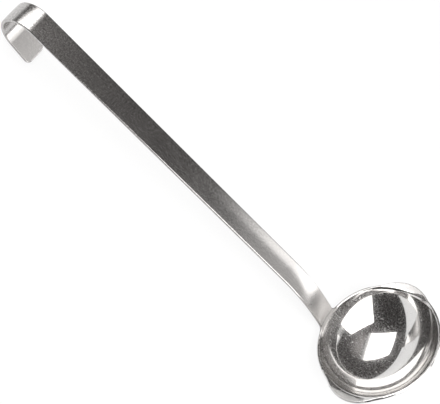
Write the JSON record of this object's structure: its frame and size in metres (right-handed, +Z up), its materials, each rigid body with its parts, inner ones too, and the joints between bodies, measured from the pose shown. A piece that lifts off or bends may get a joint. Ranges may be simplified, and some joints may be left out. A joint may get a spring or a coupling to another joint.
{
  "type": "sauce ladle",
  "caption": "Stainless-steel sauce ladle with an oval polished bowl, small pouring lips at its sides and a flat satin strip handle that ends in a hanging hook.",
  "frame": {"origin": "on the table, under the middle of the ladle's box as it lies on its bowl and the tail of its hook", "axes": "+X along the ladle from the bowl to the hook, +Y to the left of a person who looks along +X, +Z up from the table"},
  "size_m": [0.3014, 0.0846, 0.0555],
  "materials": {
    "polished_steel": "mirror polished",
    "satin_steel": "satin, brushed along the strip"
  },
  "bodies": {
    "root": {"bowl": "polished_steel", "neck_weld": "satin_steel", "handle": "satin_steel"}
  },
  "joints": []
}
